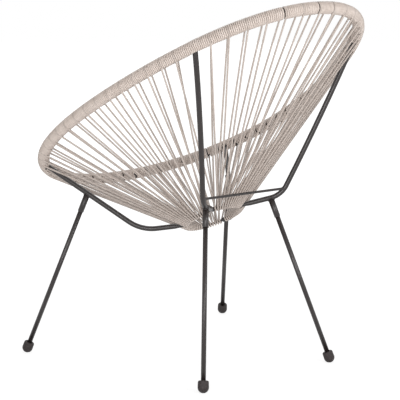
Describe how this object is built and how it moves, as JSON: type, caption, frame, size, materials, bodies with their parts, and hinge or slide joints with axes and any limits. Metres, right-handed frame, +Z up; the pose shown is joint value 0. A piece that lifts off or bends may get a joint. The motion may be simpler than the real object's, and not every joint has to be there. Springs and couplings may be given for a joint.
{
  "type": "acapulco chair",
  "caption": "Patio lounge chair: a tilted egg-shaped rim laced to a small seat ring with beige plastic cord, on a dark tubular steel frame with plug-in legs and rubber foot caps.",
  "frame": {"origin": "middle of the floor rectangle under the whole chair", "axes": "+Z up from the floor; the sitter faces -Y; +X is the sitter's left"},
  "size_m": [0.7183, 0.7868, 0.8453],
  "materials": {
    "frame": "satin powder coat",
    "cord": "satin extruded plastic cord",
    "winding": "satin extruded plastic cord, wound closely",
    "feet": "matte black"
  },
  "bodies": {
    "root": {"rim_tube": "frame", "rim_winding_01": "winding", "rim_winding_02": "winding", "rim_winding_03": "winding", "rim_winding_04": "winding", "rim_winding_05": "winding", "rim_winding_06": "winding", "rim_winding_07": "winding", "rim_winding_08": "winding", "rim_winding_09": "winding", "rim_winding_10": "winding", "rim_winding_11": "winding", "rim_winding_12": "winding", "rim_winding_13": "winding", "rim_winding_14": "winding", "rim_winding_15": "winding", "rim_winding_16": "winding", "rim_winding_17": "winding", "web_cord_01": "cord", "web_cord_02": "cord", "web_cord_03": "cord", "web_cord_04": "cord", "web_cord_05": "cord", "web_cord_06": "cord", "web_cord_07": "cord", "web_cord_08": "cord", "web_cord_09": "cord", "web_cord_10": "cord", "web_cord_11": "cord", "web_cord_12": "cord", "web_cord_13": "cord", "web_cord_14": "cord", "web_cord_15": "cord", "web_cord_16": "cord", "web_cord_17": "cord", "front_arm_left": "frame", "front_arm_right": "frame", "rear_arm_left": "frame", "rear_arm_right": "frame", "seat_ring": "frame", "rear_brace": "frame", "front_leg_socket_left": "frame", "front_leg_left": "frame", "front_foot_cap_left": "feet", "front_leg_socket_right": "frame", "front_leg_right": "frame", "front_foot_cap_right": "feet", "rear_leg_socket_left": "frame", "rear_leg_left": "frame", "rear_foot_cap_left": "feet", "rear_leg_socket_right": "frame", "rear_leg_right": "frame", "rear_foot_cap_right": "feet"}
  },
  "joints": []
}
